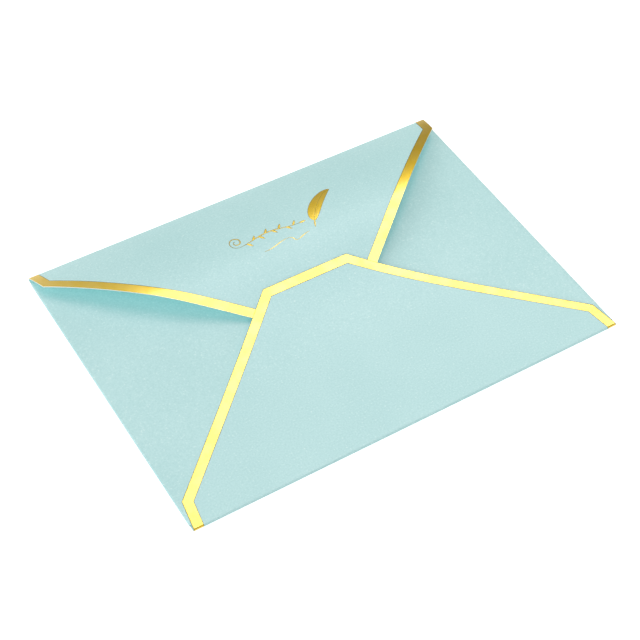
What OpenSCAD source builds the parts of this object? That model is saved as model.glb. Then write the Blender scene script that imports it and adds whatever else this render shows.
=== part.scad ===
// Gift-card envelope, folded from one sheet of pearl paper, with gold foil stamped on its flaps.
// It lies on its front with the flaps up. The origin is the middle of the front, on the table.
// X runs along the long side, Y from the pocket fold to the closing fold. Lengths are in millimetres.

/* [Envelope] */
// Length of the closed envelope, from one side fold to the other
envelope_l = 175; // [150:1:220]
// Depth of the closed envelope, from the pocket fold to the closing fold
envelope_d = 125; // [116:1:150]
// Thickness of the paper
paper_t = 0.3; // [0.2:0.05:0.5]
// Room for the card between the front and the side flaps
pocket_gap = 0.4; // [0.2:0.1:1.5]
// How far each flap's corner stands in from the end of its fold
fold_in = 0.3; // [0.1:0.1:2]
// Gap where one flap only lies on another
lie_gap = 0.1; // [0.05:0.05:0.3]

/* [Side flaps] */
// Distance between the blunt tips of the two side flaps
side_tips_apart = 24; // [12:1:40]
// Width of the blunt tip of a side flap
side_tip_w = 20; // [10:1:30]
// How far the tips lie from the envelope's middle, towards the closing fold
side_tip_shift = 2; // [-4:0.5:6]
// Length cut away at each end of a side fold
side_relief = 2.5; // [2.5:0.5:6]

/* [Pocket flap] */
// Distance from the pocket fold to the flap's tip, seen from above
pocket_reach = 74.5; // [68:0.5:80]
// Width of the flap's blunt tip
pocket_tip_w = 35.6; // [20:0.2:60]
// Length of the steep shoulder beside the fold
pocket_shoulder = 11.6; // [6:0.2:16]
// How far the shoulder comes in from the end of the envelope
pocket_shoulder_in = 2.1; // [1:0.1:6]
// Length beside the fold that is glued down on the side flaps
pocket_glued = 26; // [18:1:40]

/* [Closing flap] */
// How far the flap is tucked under the tip of the pocket flap
tuck = 14; // [8:0.5:20]
// Width of the flap's blunt tip
closing_tip_w = 37.8; // [20:0.2:60]
// Length of the steep shoulder beside the fold
closing_shoulder = 10; // [6:0.2:16]
// How far the shoulder comes in from the end of the envelope
closing_shoulder_in = 2.2; // [1:0.1:6]
// Extra room inside the soft closing fold
closing_fold_room = 0.3; // [0.1:0.1:1]
// Rise of the bowed flap over the side flaps
bow_rise = 7.4; // [5:0.1:10]
// Distance from the closing fold to the top of the bow
bow_from_fold = 34.5; // [28:0.5:38]
// Angle at which the flap leaves its fold
bow_start_angle = 22.5; // [12:0.5:30]
// Angle at which the flap comes down on the side flaps
bow_end_angle = 11.5; // [6:0.5:24]

/* [Gold foil] */
// Thickness of the foil
foil_t = 0.05; // [0.03:0.01:0.1]
// Width of the border along the edges of the two flaps
border_w = 3.75; // [2:0.25:6]

/* [Feather] */
// Place of the feather's foot along the flap, from its middle
feather_x = 15.2; // [5:0.1:20]
// Place of the feather's foot down the flap, from the closing fold
feather_down = 33.5; // [26:0.1:36]
// Length of the vane
feather_l = 18.9; // [12:0.1:22]
// Width of the broad side of the vane
vane_w = 4.6; // [2:0.1:6]
// Width of the narrow side of the vane
vane_under = 0.7; // [0.3:0.1:1.5]
// Lean of the feather from the direction of the fold
feather_lean = 41; // [30:1:70]
// Length of the bare quill
quill_l = 3.4; // [2:0.1:5]
// Thickness of the quill where it leaves the vane
quill_w = 0.6; // [0.4:0.05:1]
// Width of the bare slit along the shaft
shaft_slit_w = 0.25; // [0.1:0.05:0.5]

/* [Sprig] */
// Length of the sprig's stem
sprig_l = 25.5; // [16:0.5:30]
// Gap between the sprig's tip and the feather's foot
sprig_gap = 5.7; // [3:0.1:10]
// Place of the sprig down the flap, from the closing fold
sprig_down = 30.8; // [26:0.1:32]
// Height of the stem's single wave
stem_wave = 1.8; // [0:0.1:3]
// Thickness of the stem in its middle
stem_w = 0.5; // [0.3:0.05:0.8]
// Radius of the curl at the stem's left end
curl_r = 2.9; // [2:0.1:4]
// Number of leaves along the stem
leaves = 8; // [4:1:12]
// Length of a leaf
leaf_l = 2.9; // [1.5:0.1:4]
// Width of a leaf
leaf_w = 0.9; // [0.4:0.05:1.4]

/* [Pen line] */
// Length of the drawn line
pen_line_l = 19.8; // [12:0.1:24]
// Thickness of the drawn line in its middle
pen_line_w = 0.5; // [0.3:0.05:0.8]
// Gap between the line and the end of the quill
pen_gap = 3; // [1:0.1:4]

/* [Hidden] */

paper_color = "#bde0df";
gold_color = "#e9c94c";

// Straight pieces in a quarter of a fold, in each half of the bow, in the lifted tip and in a drawn curve
fold_steps = 5;
bow_steps = 16;
lift_steps = 12;
curve_steps = 12;
// Height of the upright cutters, well over the bow
cutter_h = 3 * bow_rise;
// How far a cutter runs past a fold
cutter_over = 1;

// Heights of the sheet's middle line in the stack of flaps
side_mid = 1.5 * paper_t + pocket_gap;
side_top = side_mid + paper_t / 2;
pocket_mid = side_top + paper_t / 2;
bow_mid = side_top + bow_rise - paper_t / 2;

// Radii of the middle line in the three kinds of fold
side_fold_r = (side_mid - paper_t / 2) / 2;
pocket_fold_r = (pocket_mid - paper_t / 2) / 2;
closing_fold_r = side_fold_r + closing_fold_room;

// Lines at which the front ends and the folds begin
front_x = envelope_l / 2 - side_fold_r - paper_t / 2;
pocket_fold_y = -envelope_d / 2 + pocket_fold_r + paper_t / 2;
closing_fold_y = envelope_d / 2 - closing_fold_r - paper_t / 2;

// Places where the lifted and bowed stretches begin, end and turn
pocket_lift_y = -envelope_d / 2 + pocket_glued;
pocket_tip_y = -envelope_d / 2 + pocket_reach;
closing_tip_y = pocket_tip_y - tuck;
bow_top_y = envelope_d / 2 - bow_from_fold;
bow_start_y = closing_fold_y + closing_fold_r * sin(bow_start_angle);
bow_start_z = closing_fold_r * (1 + cos(bow_start_angle)) + paper_t / 2;
closing_tip_z = side_top + paper_t / 2 + lie_gap;

// Cubic from height z0 and slope m0 to height z1 and slope m1, over the length l, at the share u
function eased(u, l, z0, m0, z1, m1) =
    z0 * (1 - 3 * u * u + 2 * u * u * u) + z1 * (3 * u * u - 2 * u * u * u)
    + l * (m0 * (u - 2 * u * u + u * u * u) + m1 * (u * u * u - u * u));
// Slope of that cubic
function eased_slope(u, l, z0, m0, z1, m1) =
    6 * (z1 - z0) / l * (u - u * u) + m0 * (1 - 4 * u + 3 * u * u) + m1 * (3 * u * u - 2 * u);

// The closing flap's middle line goes up from the fold to the top of the bow, then down to its tip
up_l = bow_start_y - bow_top_y;
down_l = bow_top_y - closing_tip_y;
up_slope = tan(bow_start_angle);
down_slope = -tan(bow_end_angle);
function bow_up(u) = [bow_start_y - u * up_l, eased(u, up_l, bow_start_z, up_slope, bow_mid, 0),
    180 - atan(eased_slope(u, up_l, bow_start_z, up_slope, bow_mid, 0))];
function bow_down(u) = [bow_top_y - u * down_l, eased(u, down_l, bow_mid, 0, closing_tip_z, down_slope),
    180 - atan(eased_slope(u, down_l, bow_mid, 0, closing_tip_z, down_slope))];

// The pocket flap's tip lies along the closing flap, at the height and the slope that it has there
meet = bow_down((bow_top_y - pocket_tip_y) / down_l);
meet_angle = meet[2] - 180;
pocket_tip_z = meet[1] + (paper_t + foil_t + lie_gap) / cos(meet_angle);
lift_l = pocket_tip_y - pocket_lift_y;
lift_h = pocket_tip_z - pocket_mid;
lift_power = tan(meet_angle) * lift_l / lift_h;
function lifted(u) = [pocket_lift_y + u * lift_l, pocket_mid + lift_h * pow(u, lift_power),
    u == 0 ? 0 : atan(lift_power * lift_h / lift_l * pow(u, lift_power - 1))];

// A run is a list of points on the sheet's middle line: place, height and heading.
// Its first points go round the fold from the front, and the one at index fold_steps is the fold's edge.
pocket_run = concat(
    [for (i = [0 : 2 * fold_steps]) let (a = 90 * i / fold_steps)
        [pocket_fold_y - pocket_fold_r * sin(a), paper_t / 2 + pocket_fold_r * (1 - cos(a)), 180 - a]],
    [for (i = [0 : lift_steps]) lifted(i / lift_steps)]);
closing_turn = 90 - bow_start_angle;
closing_run = concat(
    [for (i = [0 : fold_steps]) let (a = 90 * i / fold_steps)
        [closing_fold_y + closing_fold_r * sin(a), paper_t / 2 + closing_fold_r * (1 - cos(a)), a]],
    [for (i = [1 : fold_steps - 1]) let (a = 90 + closing_turn * i / fold_steps)
        [closing_fold_y + closing_fold_r * sin(a), paper_t / 2 + closing_fold_r * (1 - cos(a)), a]],
    [for (i = [0 : bow_steps]) bow_up(i / bow_steps)],
    [for (i = [1 : bow_steps]) bow_down(i / bow_steps)]);
side_run = concat(
    [for (i = [0 : 2 * fold_steps]) let (a = 90 * i / fold_steps)
        [front_x + side_fold_r * sin(a), paper_t / 2 + side_fold_r * (1 - cos(a)), a]],
    [[side_tips_apart / 2, side_mid, 180]]);

// Length along a run from the edge of its fold to each of its points
function step(run, i) = i + 1 < len(run) ? norm([run[i + 1][0] - run[i][0], run[i + 1][1] - run[i][1]]) : 0;
function sums(run) = [for (i = 0, s = 0; i < len(run); s = s + step(run, i), i = i + 1) s];
function lengths(run) = let (s = sums(run)) [for (v = s) v - s[fold_steps]];
pocket_lengths = lengths(pocket_run);
closing_lengths = lengths(closing_run);
pocket_l = pocket_lengths[len(pocket_run) - 1];
closing_l = closing_lengths[len(closing_run) - 1];

// Place seen from above of a point that lies at the length s along a run
function places(run, run_lengths) = [for (i = [fold_steps : len(run) - 1]) [run_lengths[i], run[i][0]]];
pocket_places = places(pocket_run, pocket_lengths);
closing_places = places(closing_run, closing_lengths);
function on_flap(points, table) = [for (p = points) [p[0], lookup(p[1], table)]];

// Half of a flap's edge on the flat sheet: corner at the fold, end of the shoulder, corner of the tip
function half_edge(shoulder_in, shoulder, tip_w, l) =
    [[envelope_l / 2 - fold_in, 0], [envelope_l / 2 - shoulder_in, shoulder], [tip_w / 2, l]];
pocket_edge = half_edge(pocket_shoulder_in, pocket_shoulder, pocket_tip_w, pocket_l);
closing_edge = half_edge(closing_shoulder_in, closing_shoulder, closing_tip_w, closing_l);

// The same edge moved in by the border's width, with true corners
function unit(v) = v / norm(v);
function left_of(v) = [-v[1], v[0]];
function corner(p, a, b, d) = let (m = left_of(a), n = left_of(b)) p + d * (m + n) / (1 + m * n);
function inner_edge(e, d) =
    let (a = unit(e[1] - e[0]), b = unit(e[2] - e[1]), start = e[0] + d * left_of(a))
    [start - a * start[1] / a[1], corner(e[1], a, b, d), corner(e[2], b, [-1, 0], d)];

// Outline seen from above: the half edge is followed on the bent flap, then mirrored
function stops(e, run_lengths) =
    concat([for (s = run_lengths) if (s >= 0 && s < e[1][1]) s], [e[1][1]],
        [for (s = run_lengths) if (s > e[1][1] && s < e[2][1]) s], [e[2][1]]);
function half_outline(e, run_lengths, table, over, tip_over) =
    let (x_table = [for (p = e) [p[1], p[0]]])
    concat([[e[0][0], table[0][1] + over]],
        [for (s = stops(e, run_lengths)) [lookup(s, x_table), lookup(s, table)]],
        tip_over == 0 ? [] : [[e[2][0], lookup(e[2][1], table) - tip_over]]);
function both_halves(half) =
    concat(half, [for (i = [len(half) - 1 : -1 : 0]) [-half[i][0], half[i][1]]]);
function pocket_shape(e, tip_over) =
    both_halves(half_outline(e, pocket_lengths, pocket_places, -cutter_over, -tip_over));
function closing_shape(e, tip_over) =
    both_halves(half_outline(e, closing_lengths, closing_places, cutter_over, tip_over));

// Section of a layer of a run, between two distances to the right of the middle line.
// The outer face lies on the right of the closing run and on the left of the pocket run.
function shifted(p, d) = [p[0] + d * sin(p[2]), p[1] - d * cos(p[2])];
function section(run, a, b) =
    concat([for (p = run) shifted(p, a)], [for (i = [len(run) - 1 : -1 : 0]) shifted(run[i], b)]);
function sheet_section(run) = section(run, -paper_t / 2, paper_t / 2);
function foil_section(run, side) =
    let (on_flap_only = [for (i = [fold_steps : len(run) - 1]) run[i]])
    section(on_flap_only, side * paper_t / 2, side * (paper_t / 2 + foil_t));

module along_x(points) {
    rotate([90, 0, 90])
        linear_extrude(envelope_l, center = true)
            polygon(points);
}

module upright() {
    translate([0, 0, -cutter_over])
        linear_extrude(cutter_h)
            children();
}

// Front of the envelope, with its four corners running out between the folds
module front() {
    fold_half = envelope_d / 2 - side_relief;
    linear_extrude(paper_t) {
        translate([-front_x, pocket_fold_y])
            square([2 * front_x, closing_fold_y - pocket_fold_y]);
        for (ends = [[pocket_fold_y, -fold_half], [fold_half, closing_fold_y]])
            translate([fold_in - envelope_l / 2, ends[0]])
                square([envelope_l - 2 * fold_in, ends[1] - ends[0]]);
    }
}

module side_flap() {
    fold_half = envelope_d / 2 - side_relief;
    tip_x = side_tips_apart / 2;
    over_x = envelope_l / 2 + cutter_over;
    intersection() {
        rotate([90, 0, 0])
            linear_extrude(envelope_d, center = true)
                polygon(sheet_section(side_run));
        upright()
            polygon([[over_x, -fold_half], [front_x, -fold_half], [tip_x, side_tip_shift - side_tip_w / 2],
                [tip_x, side_tip_shift + side_tip_w / 2], [front_x, fold_half], [over_x, fold_half]]);
    }
}

module pocket_flap() {
    intersection() {
        along_x(sheet_section(pocket_run));
        upright()
            polygon(pocket_shape(pocket_edge, cutter_over));
    }
}

module closing_flap() {
    intersection() {
        along_x(sheet_section(closing_run));
        upright()
            polygon(closing_shape(closing_edge, cutter_over));
    }
}

module folded_sheet() {
    color(paper_color)
        union() {
            front();
            side_flap();
            mirror([1, 0, 0])
                side_flap();
            pocket_flap();
            closing_flap();
        }
}

// Gold border along the free edge of each flap, from one end of its fold to the other
module pocket_flap_foil() {
    color(gold_color)
        intersection() {
            along_x(foil_section(pocket_run, -1));
            upright()
                difference() {
                    polygon(pocket_shape(pocket_edge, cutter_over));
                    polygon(pocket_shape(inner_edge(pocket_edge, border_w), 0));
                }
        }
}

module closing_flap_foil() {
    color(gold_color)
        intersection() {
            along_x(foil_section(closing_run, 1));
            upright()
                difference() {
                    polygon(closing_shape(closing_edge, cutter_over));
                    polygon(closing_shape(inner_edge(closing_edge, border_w), 0));
                }
        }
}

// Ornaments are drawn on the flat flap: X from its middle, and the length down from the closing fold.
// A drawn outline is then laid on the bow.
module drawn(points) {
    polygon(on_flap(points, closing_places));
}

module stamped() {
    color(gold_color)
        intersection() {
            along_x(foil_section(closing_run, 1));
            upright()
                children();
        }
}

// Outline of a stroke along a curve, which swells from its thin ends to its thick middle
stroke_end_w = 0.12;
function normal(c, i) = unit(left_of(c[min(i + 1, len(c) - 1)] - c[max(i - 1, 0)]));
function half_w(share, thick) = (stroke_end_w + (thick - stroke_end_w) * sin(180 * share)) / 2;
function stroke(c, thick) =
    let (last = len(c) - 1)
    concat([for (i = [0 : last]) c[i] + half_w(i / last, thick) * normal(c, i)],
        [for (i = [last : -1 : 0]) c[i] - half_w(i / last, thick) * normal(c, i)]);
// Curve bent by four points
function bent(p) = [for (i = [0 : curve_steps]) let (u = i / curve_steps, v = 1 - u)
    v * v * v * p[0] + 3 * v * v * u * p[1] + 3 * v * u * u * p[2] + u * u * u * p[3]];

// Feather: a vane with a broad and a narrow side, a bare slit for the shaft, and a quill
foot = [feather_x, feather_down];
lean = [cos(feather_lean), -sin(feather_lean)];
quill_end = foot + quill_l * [-0.4, 0.9];
function in_vane(u, v) = foot + u * feather_l * lean - v * left_of(lean);
// Hump over the shares 0 to 1 with the height 1, which leans to the side of its smaller power
function hump(u, p, q) = pow(u * (p + q) / p, p) * pow((1 - u) * (p + q) / q, q);
function broad(u) = vane_w * hump(u, 0.45, 0.55);
function narrow(u) = -vane_under * hump(u, 0.5, 3);
// Shares that lie close together at both ends of the vane, where its edge turns
function share(i) = (1 - cos(180 * i / curve_steps)) / 2;

module feather_foil() {
    vane = concat([for (i = [0 : curve_steps]) in_vane(share(i), broad(share(i)))],
        [for (i = [curve_steps - 1 : -1 : 1]) in_vane(share(i), narrow(share(i)))]);
    shaft = bent([in_vane(0, 0), in_vane(0.25, vane_w / 3),
        in_vane(0.5, vane_w / 2), in_vane(0.85, vane_w / 3)]);
    quill = bent([in_vane(0.04, 0), foot, foot + quill_l * [-0.3, 0.6], quill_end]);
    stamped() {
        difference() {
            drawn(vane);
            drawn(stroke(shaft, shaft_slit_w));
        }
        drawn(stroke(quill, quill_w));
    }
}

// Sprig: a waving stem with leaves on both sides in turn, a leaf at its tip and a curl at its root
sprig_tip_x = feather_x - sprig_gap;
stem_steps = 3 * curve_steps;
curl_turn = 540;
curl_end_r = curl_r / 5;
function on_stem(u) =
    [sprig_tip_x - (1 - u) * sprig_l, sprig_down + stem_wave / 2 * cos(360 * u)];
function on_curl(u) =
    let (a = 90 + curl_turn * u, r = curl_r + u * (curl_end_r - curl_r))
    on_stem(0) - [0, curl_r] + r * [cos(a), sin(a)];
function leaf(root, side) =
    stroke(bent([for (way = [[0, 0], [0.3, 0.1], [0.5, 0.4], [0.7, 0.7]])
        root + leaf_l * [way[0], side * way[1]]]), leaf_w);

module sprig_foil() {
    stem = [for (i = [0 : stem_steps]) on_stem(i / stem_steps)];
    curl = [for (i = [0 : stem_steps]) on_curl(i / stem_steps)];
    tip_leaf = [for (i = [0 : curve_steps]) on_stem(1) + [leaf_l * i / curve_steps, 0]];
    stamped() {
        drawn(stroke(stem, stem_w));
        drawn(stroke(curl, stem_w));
        drawn(stroke(tip_leaf, leaf_w));
        for (i = [1 : leaves])
            drawn(leaf(on_stem(i / (leaves + 1)), i % 2 == 0 ? -1 : 1));
    }
}

// Line drawn by the quill: a short stroke away from it, a hook up, and a long tail
module pen_line_foil() {
    start = quill_end + pen_gap * [-1, 0.2];
    function at(x, y) = start + pen_line_l * [-x, y];
    stamped() {
        drawn(stroke(bent([at(0, 0), at(0.15, 0.01), at(0.22, 0.07), at(0.3, 0.075)]), pen_line_w));
        drawn(stroke(bent([at(0.3, 0.075), at(0.37, 0.075), at(0.34, -0.04), at(0.44, -0.045)]), pen_line_w));
        drawn(stroke(bent([at(0.44, -0.045), at(0.63, -0.055), at(0.8, 0.065), at(1, 0.04)]), pen_line_w));
    }
}

folded_sheet();
closing_flap_foil();
pocket_flap_foil();
feather_foil();
sprig_foil();
pen_line_foil();
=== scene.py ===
from math import cos, pi, radians, sin, tan

import bpy
import numpy as np
from mathutils import Matrix, Quaternion, Vector, noise


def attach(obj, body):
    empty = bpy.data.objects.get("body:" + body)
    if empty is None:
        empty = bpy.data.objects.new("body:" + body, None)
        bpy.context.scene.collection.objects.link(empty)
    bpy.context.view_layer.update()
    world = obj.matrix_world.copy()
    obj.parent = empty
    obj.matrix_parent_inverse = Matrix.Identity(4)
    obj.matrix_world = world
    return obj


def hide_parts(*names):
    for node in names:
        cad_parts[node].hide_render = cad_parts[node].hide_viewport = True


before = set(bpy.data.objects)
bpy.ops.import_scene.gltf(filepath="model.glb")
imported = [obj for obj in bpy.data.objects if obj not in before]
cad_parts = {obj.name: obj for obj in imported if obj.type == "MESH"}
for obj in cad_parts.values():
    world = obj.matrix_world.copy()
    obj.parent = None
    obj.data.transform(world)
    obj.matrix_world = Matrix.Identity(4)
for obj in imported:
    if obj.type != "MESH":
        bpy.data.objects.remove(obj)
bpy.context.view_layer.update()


# The folded sheet. One sheet of mint pearl paper is the whole envelope: a front, two side flaps
# turned in, a pocket flap glued down on them, and a closing flap that bows over them and is
# tucked under the pocket flap's tip. The paper is 0.3 mm thick, die-cut, then creased and folded.
MM = 0.001
long_side, depth, paper = 175 * MM, 125 * MM, 0.3 * MM
corner_in = 0.3 * MM                        # the long folds end this far from the corners
side_relief = 2.5 * MM                      # and the side folds this far
pocket_gap, lie_gap, foil = 0.4 * MM, 0.1 * MM, 0.05 * MM
side_tips_apart, side_tip_w, side_tip_shift = 24 * MM, 20 * MM, 2 * MM
pocket_reach, pocket_glued = 74.5 * MM, 26 * MM
pocket_cut = {"shoulder_in": 2.1 * MM, "shoulder": 11.6 * MM, "tip_w": 35.6 * MM}
closing_cut = {"shoulder_in": 2.2 * MM, "shoulder": 10 * MM, "tip_w": 37.8 * MM}
tuck, fold_room = 14 * MM, 0.3 * MM
bow_rise, bow_from_fold = 7.4 * MM, 34.5 * MM
bow_start, bow_end = radians(22.5), radians(11.5)

# Heights of the paper's middle in the stack of flaps, and the radii and places of its folds
side_mid = 1.5 * paper + pocket_gap
side_top = side_mid + paper / 2
pocket_mid = side_top + paper / 2
side_fold_r = (side_mid - paper / 2) / 2
pocket_fold_r = (pocket_mid - paper / 2) / 2
closing_fold_r = side_fold_r + fold_room
front_x = long_side / 2 - side_fold_r - paper / 2
pocket_fold_y = pocket_fold_r + paper / 2 - depth / 2
closing_fold_y = depth / 2 - closing_fold_r - paper / 2


def round_fold(start, radius, turned, way, steps=26):
    """A fold, turned up and over the front, as points of the paper's middle: place, height, heading."""
    turn = np.linspace(0, turned, steps)
    heading = turn if way > 0 else pi - turn
    place, height = start + way * radius * np.sin(turn), paper / 2 + radius * (1 - np.cos(turn))
    return np.stack([place, height, heading], 1)


def free_bend(start, start_slope, end, end_slope, steps):
    """A flap's free bend between two held points, in the same three columns, towards the pocket fold."""
    u = np.linspace(0, 1, steps)
    run = start[0] - end[0]
    height = (start[1] * (1 - 3 * u**2 + 2 * u**3) + end[1] * (3 * u**2 - 2 * u**3)
              + run * (start_slope * (u - 2 * u**2 + u**3) + end_slope * (u**3 - u**2)))
    slope = (6 * (end[1] - start[1]) / run * (u - u**2)
             + start_slope * (1 - 4 * u + 3 * u**2) + end_slope * (3 * u**2 - 2 * u))
    return np.stack([start[0] - u * run, height, pi - np.arctan(slope)], 1)


# Middle line of the closing flap: the fold, up to the top of the bow, then down to the tucked tip
closing_fold_steps, rise_steps, fall_steps = 30, 60, 56
bow_top = (depth / 2 - bow_from_fold, side_top + bow_rise - paper / 2)
bow_foot = (closing_fold_y + closing_fold_r * sin(bow_start),
            closing_fold_r * (1 + cos(bow_start)) + paper / 2)
pocket_tip_y = pocket_reach - depth / 2
closing_tip = (pocket_tip_y - tuck, side_top + paper / 2 + lie_gap)
closing_line = np.concatenate([
    round_fold(closing_fold_y, closing_fold_r, pi - bow_start, 1, closing_fold_steps)[:-1],
    free_bend(bow_foot, tan(bow_start), bow_top, 0, rise_steps)[:-1],
    free_bend(bow_top, 0, closing_tip, -tan(bow_end), fall_steps)])

# The pocket flap lies flat where it is glued, then lifts until its tip lies along the closing flap
glued_steps, lifted_steps = 16, 60
meet_z = np.interp(pocket_tip_y, closing_line[::-1, 0], closing_line[::-1, 1])
meet_angle = np.interp(pocket_tip_y, closing_line[::-1, 0], closing_line[::-1, 2]) - pi
lift_y = pocket_glued - depth / 2
lift_l = pocket_tip_y - lift_y
lift_h = meet_z + (paper + foil + lie_gap) / cos(meet_angle) - pocket_mid
lift_power = tan(meet_angle) * lift_l / lift_h
glued = np.linspace(0, 1, glued_steps)[1:-1]
lifted = np.linspace(0, 1, lifted_steps)
pocket_line = np.concatenate([
    round_fold(pocket_fold_y, pocket_fold_r, pi, -1),
    np.stack([pocket_fold_y + (lift_y - pocket_fold_y) * glued, 0 * glued + pocket_mid, 0 * glued], 1),
    np.stack([lift_y + lifted * lift_l, pocket_mid + lift_h * lifted**lift_power,
              np.arctan(lift_power * lift_h / lift_l * lifted**(lift_power - 1))], 1)])

# The side flaps lie flat from their folds to their tips
side_steps = 44
side_x = np.linspace(front_x, side_tips_apart / 2, side_steps)[1:]
side_line = np.concatenate([
    round_fold(front_x, side_fold_r, pi, 1),
    np.stack([side_x, np.full_like(side_x, side_mid), np.full_like(side_x, pi)], 1)])


class Flap:
    """A flap that bends along its length. s is the length along its paper, from its fold's outer line."""
    held_edge = 8 * MM                      # the paper is even at its ends, and uneven from here on
    wave_x, wave_s = 31 * MM, 24 * MM

    def __init__(self, line, outer, cut, unevenness):
        self.line, self.outer, self.unevenness = line, outer, unevenness
        s = np.concatenate([[0], np.cumsum(np.hypot(*np.diff(line[:, :2], axis=0).T))])
        turned = np.abs(line[:, 2] - line[0, 2])[:closing_fold_steps]
        self.s = s - np.interp(pi / 2, turned, s[:closing_fold_steps])
        self.length = self.s[-1]
        self.edge = np.array([[long_side / 2 - corner_in, 0],
                              [long_side / 2 - cut["shoulder_in"], cut["shoulder"]],
                              [cut["tip_w"] / 2, self.length]])

    def half_width(self, s):
        """Half the flap's width at s, as it is cut: shoulder, then slope."""
        return np.interp(s, self.edge[:, 1], self.edge[:, 0])

    def lay(self, x, s, lift=0.0):
        """Points at x and s, lifted off the paper's middle towards its outside, and their way outwards."""
        x, s = np.broadcast_arrays(np.asarray(x, float), np.asarray(s, float))
        y, z, heading = (np.interp(s, self.s, self.line[:, i]) for i in range(3))
        out = np.stack([np.zeros_like(y), self.outer * np.sin(heading), -self.outer * np.cos(heading)], -1)
        free = np.clip(s / self.held_edge, 0, 1) * np.clip((self.length - s) / self.held_edge, 0, 1)
        wave = [noise.noise(Vector((a / self.wave_x, b / self.wave_s, self.outer)))
                for a, b in zip(x.flat, s.flat)]
        lift = lift + self.unevenness * free * np.reshape(wave, x.shape)
        return np.stack([x, y, z], -1) + out * lift[..., None], out


closing_flap = Flap(closing_line, 1, closing_cut, 0.05 * MM)
pocket_flap = Flap(pocket_line, -1, pocket_cut, 0.03 * MM)


def faces_of(grid):
    """The four-cornered faces between the points of a grid, given their numbers."""
    return np.stack([grid[:-1, :-1], grid[1:, :-1], grid[1:, 1:], grid[:-1, 1:]], -1).reshape(-1, 4)


def solid_of(name, middle, out, faces, below, above):
    """A closed skin between two distances off a middle surface, with its cut rim as material 1."""
    corners = middle[faces]
    normal = np.cross(corners[:, 2] - corners[:, 0], corners[:, 3] - corners[:, 1])
    turned = np.einsum("ij,ij->i", normal, out[faces].mean(1)) < 0
    faces = np.where(turned[:, None], faces[:, ::-1], faces)
    edges = np.stack([faces, np.roll(faces, -1, 1)], -1).reshape(-1, 2)
    _, back, count = np.unique(np.sort(edges, 1), axis=0, return_inverse=True, return_counts=True)
    rim = edges[count[back.ravel()] == 1]
    n = len(middle)
    rim_faces = np.stack([rim[:, 0], rim[:, 0] + n, rim[:, 1] + n, rim[:, 1]], 1)
    below, above = (np.broadcast_to(distance, n)[:, None] for distance in (below, above))
    mesh = bpy.data.meshes.new(name)
    mesh.from_pydata(np.concatenate([middle + out * above, middle + out * below]).tolist(), [],
                     np.concatenate([faces, faces[:, ::-1] + n, rim_faces]).tolist())
    mesh.polygons.foreach_set("material_index", [0] * (2 * len(faces)) + [1] * len(rim_faces))
    mesh.shade_smooth()
    mesh.set_sharp_from_angle(angle=radians(40))
    mesh.update()
    solid = bpy.data.objects.new(name, mesh)
    bpy.context.scene.collection.objects.link(solid)
    return solid


# The sheet's middle surface: the front, then each flap on from the front's own edge points
points, outs, faces = [], [], []


def add_points(place, out):
    """Adds a grid of points to the sheet's middle surface, and gives their numbers."""
    first = sum(len(p) for p in points)
    points.append(place.reshape(-1, 3))
    outs.append(np.broadcast_to(out, place.shape).reshape(-1, 3))
    return first + np.arange(place[..., 0].size).reshape(place.shape[:-1])


front_cols, front_rows = 71, 51
fold_half = long_side / 2 - corner_in
side_half = depth / 2 - side_relief
cols = np.concatenate([[-fold_half], np.linspace(-front_x, front_x, front_cols), [fold_half]])
rows = np.concatenate([[pocket_fold_y], np.linspace(-side_half, side_half, front_rows), [closing_fold_y]])
grid_x, grid_y = np.meshgrid(cols, rows)
flat_front = np.stack([grid_x, grid_y, np.full_like(grid_x, paper / 2)], -1)
front = add_points(flat_front, np.array([0.0, 0.0, -1.0]))
faces.append(faces_of(front[:, 1:-1]))

# At its four corners the front runs on past the side folds, out to the ends of the long folds
for corner in (front[:2, :2], front[:2, -2:], front[-2:, :2], front[-2:, -2:]):
    faces.append(faces_of(corner))

for flap, shared in ((closing_flap, front[-1]), (pocket_flap, front[0])):
    s = np.unique(np.concatenate([flap.s, [flap.edge[1, 1]]]))[1:]
    place, out = flap.lay(cols / fold_half * flap.half_width(s)[:, None], s[:, None])
    faces.append(faces_of(np.concatenate([shared[None], add_points(place, out)])))

for side, shared in ((-1, front[1:-1, 1]), (1, front[1:-1, -2])):
    x, z, heading = side_line[1:].T
    flat = heading > pi - 1e-6
    share = np.where(flat, (front_x - x) / (front_x - side_tips_apart / 2), 0)[:, None]
    y = rows[1:-1] * (1 - share * (1 - side_tip_w / 2 / side_half)) + side_tip_shift * share
    place = np.stack(np.broadcast_arrays(side * x[:, None], y, z[:, None]), -1)
    out = np.stack([side * np.sin(heading), np.zeros_like(heading), -np.cos(heading)], -1)[:, None]
    faces.append(faces_of(np.concatenate([shared[None], add_points(place, out)])))


class Value:
    """An output socket that can be used in sums: each sum adds its Math node."""

    def __init__(self, finish, socket):
        self.finish, self.socket = finish, socket

    def sum(self, operation, *values):
        return self.finish.node("ShaderNodeMath", {"operation": operation},
                                **{str(i): value for i, value in enumerate(values)})

    def __add__(self, other): return self.sum("ADD", self, other)
    def __radd__(self, other): return self.sum("ADD", other, self)
    def __sub__(self, other): return self.sum("SUBTRACT", self, other)
    def __rsub__(self, other): return self.sum("SUBTRACT", other, self)
    def __mul__(self, other): return self.sum("MULTIPLY", self, other)
    def __rmul__(self, other): return self.sum("MULTIPLY", other, self)
    def __getitem__(self, name): return Value(self.finish, self.socket.node.outputs[name])


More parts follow.
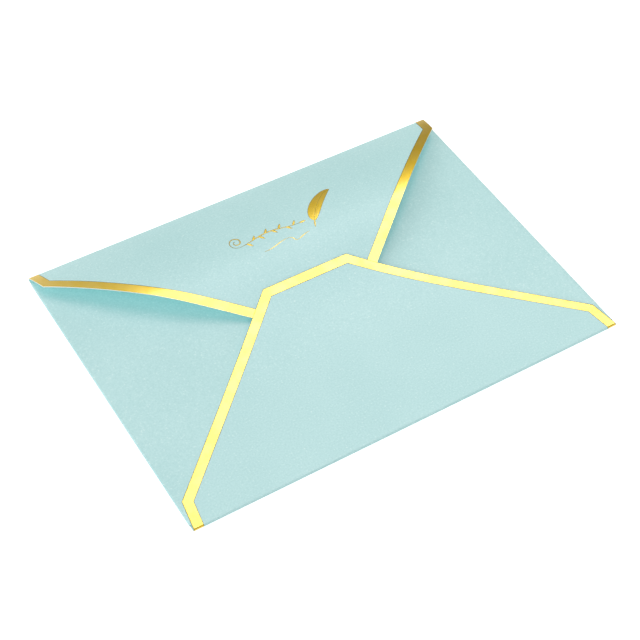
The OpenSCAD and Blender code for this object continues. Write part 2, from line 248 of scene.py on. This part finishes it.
class Finish:
    """A material, or the room's air, built node by node."""

    def __init__(self, data):
        data.use_nodes = True
        self.data, self.tree = data, data.node_tree
        self.tree.nodes.clear()

    def node(self, kind, settings=None, **sockets):
        """A node's first output. Its settings are made first, then its sockets are filled or linked."""
        made = self.tree.nodes.new(kind)
        for name, value in (settings or {}).items():
            setattr(made, name, value)
        for name, value in sockets.items():
            socket = made.inputs[int(name) if name.isdigit() else name.replace("_", " ")]
            if isinstance(value, Value):
                self.tree.links.new(value.socket, socket)
            else:
                socket.default_value = value
        return Value(self, next((o for o in made.outputs if o.enabled), None))

    def within(self, value, low, high):
        """0 up to low, 1 from high on, and smooth between them."""
        return self.node("ShaderNodeMapRange", {"interpolation_type": "SMOOTHSTEP"},
                         Value=value, From_Min=low, From_Max=high)

    def blend(self, share, a, b):
        """Colour a where share is 0 and b where it is 1."""
        mixed = self.node("ShaderNodeMix", {"data_type": "RGBA"}, **{"0": share, "6": a, "7": b})
        return Value(self, mixed.socket.node.outputs[2])

    def lets_light_through(self, face, tint):
        """The surface is face to the eye and to mirrors, and lets a lamp's light through in a tint."""
        lamp_light = self.node("ShaderNodeLightPath")["Is Shadow Ray"]
        through = self.node("ShaderNodeBsdfTransparent", Color=tint)
        self.node("ShaderNodeOutputMaterial",
                  Surface=self.node("ShaderNodeMixShader", **{"0": lamp_light, "1": face, "2": through}))


def shade(r, g, b):
    """A colour as seen on a screen, 0 to 255, as the linear one that a shader takes."""
    return tuple(((c / 255 + 0.055) / 1.055) ** 2.4 for c in (r, g, b)) + (1.0,)


# Pearl paper: a cool mint with a fine fibrous tooth, slow clouds in its tone, and tiny mica specks,
# painted whiter in colour as glints.
# The scales are in waves per metre.
dull_mint, bright_mint, mica_glint_white = shade(169, 212, 213), shade(190, 226, 227), shade(228, 244, 240)
tooth_scale, cloud_scale, mica_scale = 1500.0, 28.0, 1500.0
tooth_in_tone, cloud_in_tone = 1.5, 0.5
tooth_depth, tooth_strength = 0.03 * MM, 0.45
light_through_paper = (0.58, 0.82, 0.81, 1)
pearl = Finish(bpy.data.materials.new("pearl_paper"))
where = pearl.node("ShaderNodeTexCoord")["Object"]
tooth = pearl.node("ShaderNodeTexNoise", Vector=where, Scale=tooth_scale, Detail=3.0, Roughness=0.65)
cloud = pearl.node("ShaderNodeTexNoise", Vector=where, Scale=cloud_scale, Detail=2.0)
mica = pearl.node("ShaderNodeTexNoise", Vector=where, Scale=mica_scale, Detail=1.0, Roughness=0.7)
tone = 0.5 + (tooth - 0.5) * tooth_in_tone + (cloud - 0.5) * cloud_in_tone
mint = pearl.blend(pearl.within(tone, 0.0, 1.0), dull_mint, bright_mint)
# The mica specks are smoother, and are painted whiter in colour as glints
glint = pearl.within(mica, 0.66, 0.76)
pearl.lets_light_through(pearl.node(
    "ShaderNodeBsdfPrincipled", Base_Color=pearl.blend(glint * 0.4, mint, mica_glint_white),
    Roughness=0.5 - glint * 0.2, Coat_Weight=0.35, Coat_Roughness=0.35,
    Normal=pearl.node("ShaderNodeBump", Strength=tooth_strength, Distance=tooth_depth,
                      Height=tooth + mica * 0.3)), light_through_paper)

# The cut edge shows the paler, matt inside of the paper
fibre_scale = 4000.0
core = Finish(bpy.data.materials.new("paper_core"))
where = core.node("ShaderNodeTexCoord")["Object"]
fibre = core.node("ShaderNodeTexNoise", Vector=where, Scale=fibre_scale, Detail=2.0)
cream = core.blend(fibre, shade(236, 240, 226), shade(248, 249, 240))
core.node("ShaderNodeOutputMaterial",
          Surface=core.node("ShaderNodeBsdfPrincipled", Base_Color=cream, Roughness=0.9))

sheet = solid_of("paper_sheet", np.concatenate(points), np.concatenate(outs), np.concatenate(faces),
                 -paper / 2, paper / 2)
sheet.data.materials.append(pearl.data)
sheet.data.materials.append(core.data)
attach(sheet, "root")
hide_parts("folded_sheet")


# The gold borders. A band of hot-stamped foil follows the cut edge of the pocket flap and of the
# closing flap, shoulder, slope and tip. The foil is pressed into the paper's tooth, is thinner along
# its edge, and is painted browner there as edge shade.
border_w, pressed_in = 3.75 * MM, 0.02 * MM
thin_rim = 0.3 * MM                         # the foil has its full height from here on inwards
border_shares = np.array([0, 0.02, 0.05, 0.09, 0.16, 0.3, 0.5, 0.7, 0.84, 0.91, 0.95, 0.98, 1])
border_steps = {"shoulder": 60, "slope": 90, "tip": 41}

# Gold foil: a warm hazy mirror under a hard lacquer. Its edges, and the feather's barb grooves,
# are painted brown as shade, and have a rougher, thinner lacquer there
pale_gold, deep_gold, edge_shade_brown = (0.84, 0.59, 0.065, 1), (0.81, 0.55, 0.025, 1), (0.045, 0.085, 0.03, 1)
light_through_foil = (0.8, 0.9, 0.9, 1)
press_scale, haze_scale = 1900.0, 160.0
press_depth, press_strength = 0.02 * MM, 0.3
edge_shade_from, edge_shade_to = 0.08, 0.28             # brown up to the first, gold from the second, in mm
gold = Finish(bpy.data.materials.new("gold_foil"))
where = gold.node("ShaderNodeTexCoord")["Object"]
press = gold.node("ShaderNodeTexNoise", Vector=where, Scale=press_scale, Detail=2.0)
haze = gold.node("ShaderNodeTexNoise", Vector=where, Scale=haze_scale, Detail=3.0)
from_rim = gold.node("ShaderNodeAttribute", {"attribute_name": "from_rim_mm"})["Fac"]
# Close to its rim the foil is painted brown as edge shade, and its lacquer is rougher and thinner
edge_shade = 1 - gold.within(from_rim, edge_shade_from, edge_shade_to)
bright = gold.blend(gold.within(haze, 0.35, 0.65), pale_gold, deep_gold)
gold.lets_light_through(gold.node(
    "ShaderNodeBsdfPrincipled", Base_Color=gold.blend(edge_shade * 0.9, bright, edge_shade_brown), Metallic=1.0,
    Roughness=0.3 + haze * 0.08 + edge_shade * 0.15, Coat_Weight=1 - edge_shade * 0.8, Coat_IOR=1.7, Coat_Roughness=0.2,
    Normal=gold.node("ShaderNodeBump", Strength=press_strength, Distance=press_depth, Height=press)),
    light_through_foil)


def foil_piece(name, flap, strips, node):
    """Foil stamped on a flap. Each strip is a grid of (x, s, height, distance to the painted edge shade).
    """
    middle, out, faces = [], [], []
    for strip in strips:
        first = sum(len(m) for m in middle)
        place, outward = flap.lay(strip[..., 0], strip[..., 1], paper / 2)
        faces.append(faces_of(first + np.arange(strip[..., 0].size).reshape(strip.shape[:2])))
        middle.append(place.reshape(-1, 3))
        out.append(outward.reshape(-1, 3))
    height, from_rim = np.concatenate([strip[..., 2:].reshape(-1, 2) for strip in strips]).T
    stamped = solid_of(name, np.concatenate(middle), np.concatenate(out), np.concatenate(faces),
                       -pressed_in, height)
    rim = stamped.data.attributes.new("from_rim_mm", "FLOAT", "POINT")
    rim.data.foreach_set("value", np.tile(from_rim / MM, 2))
    stamped.data.materials.append(gold.data)
    stamped.data.materials.append(gold.data)
    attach(stamped, "root")
    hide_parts(node)


def left_of(way):
    """The way square to another, a quarter turn from x towards s."""
    return np.stack([-way[..., 1], way[..., 0]], -1)


def unit(way):
    return way / np.linalg.norm(way, axis=-1, keepdims=True)


def mitre(corner, way_in, way_out):
    """The border's inner corner, where two straight pieces meet at full width."""
    a, b = left_of(way_in), left_of(way_out)
    return corner + border_w * (a + b) / (1 + a @ b)


def risen(from_rim):
    """How far the foil has risen to its full height, 0 at its rim to 1."""
    return np.clip(from_rim / thin_rim, 0, 1)


def border(flap, shaded_outside):
    """The band along a flap's edge: its stations run from one fold end round the tip to the other."""
    fold_end, shoulder, tip = flap.edge
    up, slope, over = unit(shoulder - fold_end), unit(tip - shoulder), np.array([-1.0, 0.0])
    start = fold_end + border_w * left_of(up)
    corners = np.array([[fold_end, start - up * start[1] / up[1]],
                        [shoulder, mitre(shoulder, up, slope)], [tip, mitre(tip, slope, over)]])
    t = np.linspace(0, 1, border_steps["shoulder"], endpoint=False)[:, None, None]**2
    along_shoulder = corners[0] + t * (corners[1] - corners[0])
    t = np.linspace(0, 1, border_steps["slope"], endpoint=False)[:, None, None]
    half = np.concatenate([along_shoulder, corners[1] + t * (corners[2] - corners[1])])
    mirror = np.array([-1.0, 1.0])
    t = np.linspace(0, 1, border_steps["tip"])[:, None, None]
    along_tip = corners[2] + t * (corners[2] * mirror - corners[2])
    stations = np.concatenate([half, along_tip, half[::-1] * mirror])
    share = border_shares[None, :, None]
    grid = stations[:, :1] + share * (stations[:, 1:] - stations[:, :1])
    # Painted edge shade: the closing flap's border is browned along its inner edge, the pocket flap's along
    # both edges
    from_shaded_edge = np.minimum(share, 1 - share) if shaded_outside else 1 - share
    rim = np.broadcast_to(from_shaded_edge[..., 0] * border_w, grid.shape[:2])
    height = foil * (0.8 + 0.2 * risen(rim))
    return np.concatenate([grid, height[..., None], rim[..., None]], -1)


foil_piece("closing_flap_border", closing_flap, [border(closing_flap, False)], "closing_flap_foil")
foil_piece("pocket_flap_border", pocket_flap, [border(pocket_flap, True)], "pocket_flap_foil")


# The feather. A quill feather is stamped in the same foil on the closing flap: a vane of fine
# slanting barbs, broad on one side of its shaft and narrow on the other, and a bare quill.
foot = np.array([15.2, 33.5]) * MM
feather_l, vane_w, vane_under = 18.9 * MM, 4.6 * MM, 0.7 * MM
feather_lean = radians(41)
quill_l, quill_w = 3.4 * MM, 0.6 * MM
shaft_slit_w, shaft_end, slit_taper = 0.01 * MM, 0.85, 0.1
broad_round, narrow_round = (0.45, 0.55), (0.5, 3)
barb_pitch, barb_slant, barb_height = 0.72 * MM, 0.9, 0.1
brown_at_edge, brown_at_shaft = 0.06 * MM, 0.15 * MM
brown_between_barbs, brown_swing = 0.37 * MM, 0.19 * MM
lean = np.array([cos(feather_lean), -sin(feather_lean)])
quill_end = foot + quill_l * np.array([-0.4, 0.9])


def in_vane(u, v):
    """The place on the flap at a share u of the feather's length and v out to its broad side."""
    u, v = np.broadcast_arrays(u, v)
    return foot + u[..., None] * feather_l * lean - v[..., None] * left_of(lean)


def hump(u, p, q):
    """A vane's width along the feather, 1 at its widest: p rounds its foot and q its tip."""
    return (u * (p + q) / p) ** p * ((1 - u) * (p + q) / q) ** q


def bent(p, n=40):
    """Curve bent by four points."""
    t = np.linspace(0, 1, n)[:, None]
    p = [np.asarray(q, float) for q in p]
    return (1 - t)**3 * p[0] + 3 * (1 - t)**2 * t * p[1] + 3 * (1 - t) * t**2 * p[2] + t**3 * p[3]


def stroke(curve, thick, thin=0.12 * MM, unbrowned=0.08 * MM):
    """A stamped line that swells from thin ends to a thick middle, slightly domed across."""
    half = (thin + (thick - thin) * np.sin(pi * np.linspace(0, 1, len(curve)))) / 2
    across = np.array([-1, -0.75, -0.4, 0, 0.4, 0.75, 1])
    sideways = left_of(unit(np.gradient(curve, axis=0)))
    grid = curve[:, None] + (half[:, None] * across)[..., None] * sideways[:, None]
    height = np.broadcast_to(foil * (0.6 + 0.4 * (1 - across**2)), grid.shape[:2])
    # Painted edge shade: the stroke's sides are browned, less so where unbrowned is larger
    rim = half[:, None] * (1 - np.abs(across)) + unbrowned
    return np.concatenate([grid, height[..., None], rim[..., None]], -1)


share = (1 - np.cos(pi * np.linspace(0, 1, 260))) / 2
shaft = bent([(0, 0), (0.25, vane_w / 3), (0.5, vane_w / 2), (shaft_end, vane_w / 3)], 80)
shaft_v = np.interp(share, np.append(shaft[:, 0], 1), np.append(shaft[:, 1], 0))
slit = shaft_slit_w / 2 * np.clip((shaft_end - share) / slit_taper, 0, 1)
broad_edge, narrow_edge = vane_w * hump(share, *broad_round), -vane_under * hump(share, *narrow_round)
broad_half = broad_edge, np.minimum(shaft_v + slit, broad_edge)
narrow_half = narrow_edge, shaft_v - slit
t = np.linspace(0, 1, 26)
halves = []
for edge, shaft_side in (broad_half, narrow_half):
    grid = in_vane(share[:, None], shaft_side[:, None] + t * (edge - shaft_side)[:, None])
    reach = np.abs(edge - shaft_side)[:, None]
    rim = np.minimum(t, 1 - t) * reach
    barb = np.sin(2 * pi * (share[:, None] * feather_l - barb_slant * t * reach) / barb_pitch)
    height = foil * (1 - barb_height + barb_height * barb) * (0.7 + 0.3 * risen(rim))
    # Brown is painted as shade in the grooves between the barbs, and along the outer edge more than at the
    # shaft
    browned = np.minimum((1 - t) * reach + brown_at_edge, t * reach + brown_at_shaft)
    browned = np.minimum(browned, brown_between_barbs + brown_swing * barb)
    halves.append(np.concatenate([grid, height[..., None], browned[..., None]], -1))
quill = stroke(bent([in_vane(0.04, 0.0), foot, foot + quill_l * np.array([-0.3, 0.6]), quill_end]), quill_w)
foil_piece("feather", closing_flap, halves + [quill], "feather_foil")


# The sprig. A leafy sprig in thin foil strokes lies beside the feather: a waving stem with a curl
# at its root, leaves on both sides in turn and a leaf at its tip.
sprig_l, sprig_gap, sprig_down, stem_wave = 25.5 * MM, 5.7 * MM, 30.8 * MM, 1.8 * MM
stem_w, curl_r, curl_turn, curl_shrinks = 0.5 * MM, 2.9 * MM, 3 * pi, 0.8
leaves, leaf_l, leaf_w = 8, 2.9 * MM, 0.9 * MM
leaf_bend = ((0, 0), (0.3, 0.1), (0.5, 0.4), (0.7, 0.7))


def on_stem(u):
    """The place on the flap at a share u of the stem's length."""
    u = np.asarray(u, float)
    along = foot[0] - sprig_gap - (1 - u) * sprig_l
    return np.stack([along, sprig_down + stem_wave / 2 * np.cos(2 * pi * u)], -1)


u = np.linspace(0, 1, 90)
turn, radius = pi / 2 + curl_turn * u, curl_r * (1 - curl_shrinks * u)
curl = on_stem(0) - [0, curl_r] + radius[:, None] * np.stack([np.cos(turn), np.sin(turn)], -1)
strokes = [stroke(on_stem(u), stem_w), stroke(curl, stem_w),
           stroke(on_stem(1) + np.linspace(0, leaf_l, 24)[:, None] * np.array([1, 0]), leaf_w)]
for i in range(1, leaves + 1):
    root, side = on_stem(i / (leaves + 1)), 1 if i % 2 else -1
    ways = [np.array([x, side * y]) for x, y in leaf_bend]
    strokes.append(stroke(bent([root + leaf_l * way for way in ways], 24), leaf_w))
foil_piece("sprig", closing_flap, strokes, "sprig_foil")


# The pen line. A thin line of foil runs away from the quill, as if the feather had just drawn it:
# a short stroke, a hook and a long tail.
pen_line_l, pen_line_w, pen_gap = 19.8 * MM, 0.34 * MM, 3 * MM
pen_start = quill_end + pen_gap * np.array([-1, 0.2])


def drawn(*path):
    """One stroke of the pen, bent by four points in shares of the line's length from its start."""
    points = [pen_start + pen_line_l * np.array([-x, y]) for x, y in path]
    return stroke(bent(points), pen_line_w, unbrowned=0.13 * MM)


foil_piece("pen_line", closing_flap, [
    drawn((0, 0), (0.15, 0.01), (0.22, 0.07), (0.3, 0.075)),
    drawn((0.3, 0.075), (0.37, 0.075), (0.34, -0.04), (0.44, -0.045)),
    drawn((0.44, -0.045), (0.63, -0.055), (0.8, 0.065), (1, 0.04))], "pen_line_foil")


# The table. The envelope lies on a plain white table, which keeps its shadow. The table's top is
# a hair above the sheet's underside, inside the paper, so that this can be looked at from below.
table_half, table_z = 4, 0.01 * MM
table_grey, table_glow = (0.66, 0.66, 0.66, 1), 0.72
corners = [(x * table_half, y * table_half, table_z) for x, y in ((-1, -1), (1, -1), (1, 1), (-1, 1))]
mesh = bpy.data.meshes.new("table_top")
mesh.from_pydata(corners, [], [(0, 1, 2, 3)])
table_top = bpy.data.objects.new("table_top", mesh)
bpy.context.scene.collection.objects.link(table_top)
white = Finish(bpy.data.materials.new("white_table"))
path = white.node("ShaderNodeLightPath")
seen = path["Is Camera Ray"] + path["Is Glossy Ray"] + path["Is Transmission Ray"]
glow = white.node("ShaderNodeEmission", Color=(1, 1, 1, 1), Strength=seen * table_glow)
matt = white.node("ShaderNodeBsdfDiffuse", Color=table_grey)
white.node("ShaderNodeOutputMaterial", Surface=white.node("ShaderNodeAddShader", **{"0": matt, "1": glow}))
mesh.materials.append(white.data)


# The room and its lamp, which the gold mirrors. The room is pale on the left and low in front, dim
# and warm behind right, dark overhead and white along the horizon. One large soft box stands high
# behind right, turned so that both corners of the pocket flap show it.
left_near, left_far = (0.85, 0.85, 0.85, 1), (1.7, 1.7, 1.7, 1)
front_low, front_high = (1.2, 1.2, 1.2, 1), (0.15, 0.15, 0.13, 1)
right_back, overhead, horizon = (0.26, 0.23, 0.13, 1), (0.2, 0.2, 0.2, 1), (1.0, 1.0, 1.0, 1)
room = Finish(bpy.data.worlds.new("room"))
bpy.context.scene.world = room.data
way = room.node("ShaderNodeSeparateXYZ", Vector=room.node("ShaderNodeTexCoord")["Generated"])
leftward = way["X"] * -1.0
right_front = room.blend(room.within(way["Z"], 0.25, 0.5), front_low, front_high)
right_side = room.blend(room.within(way["Y"], -0.3, 0.5), right_front, right_back)
left_side = room.blend(room.within(leftward, -0.1, 0.6), left_near, left_far)
walls = room.blend(room.within(leftward, -0.42, -0.12), right_side, left_side)
walls = room.blend(room.within(way["Z"], 0.03, 0.07), horizon, walls)
air = room.blend(room.within(way["Z"], 0.6, 0.95), walls, overhead)
room.node("ShaderNodeOutputWorld", Surface=room.node("ShaderNodeBackground", Color=air, Strength=1.0))

box_w, box_l, box_away, box_turn, box_radiance = 1.5, 2.75, 3.6, radians(45), 4.15
towards_box = Vector((0.37, 0.265, 0.891)).normalized()
key_box = bpy.data.objects.new("key_box", bpy.data.lights.new("key_box", "AREA"))
key_box.data.shape, key_box.data.size, key_box.data.size_y = "RECTANGLE", box_w, box_l
key_box.data.energy = box_radiance * pi * box_w * box_l
key_box.location = towards_box * box_away
key_box.rotation_euler = (towards_box.to_track_quat("Z", "Y") @ Quaternion((0, 0, 1), box_turn)).to_euler()
bpy.context.scene.collection.objects.link(key_box)


# The camera. It looks down on the flap side from the front left, through a long lens, turned a
# little about its own axis.
azimuth, elevation, roll = radians(-34.513), radians(49.712), radians(3.568)
looks_at, distance = Vector((-4.69 * MM, -6.56 * MM, 0)), 557.84 * MM
lens_px, picture_px, sensor_w = 1545.0, 640, 36
back = Vector((sin(azimuth) * cos(elevation), -cos(azimuth) * cos(elevation), sin(elevation)))
level = (-back).cross(Vector((0, 0, 1))).normalized()
upright = back.cross(level)
right = cos(roll) * level + sin(roll) * upright
camera_up = cos(roll) * upright - sin(roll) * level
camera = bpy.data.objects.new("camera", bpy.data.cameras.new("camera"))
camera.data.sensor_width = sensor_w
camera.data.lens = lens_px / picture_px * sensor_w
camera.data.clip_start, camera.data.clip_end = 0.01, 20
camera.matrix_world = Matrix.Translation(looks_at + back * distance) @ Matrix(
    (right, camera_up, back)).transposed().to_4x4()
bpy.context.scene.collection.objects.link(camera)
bpy.context.scene.camera = camera
bpy.context.scene.view_settings.view_transform = "Standard"
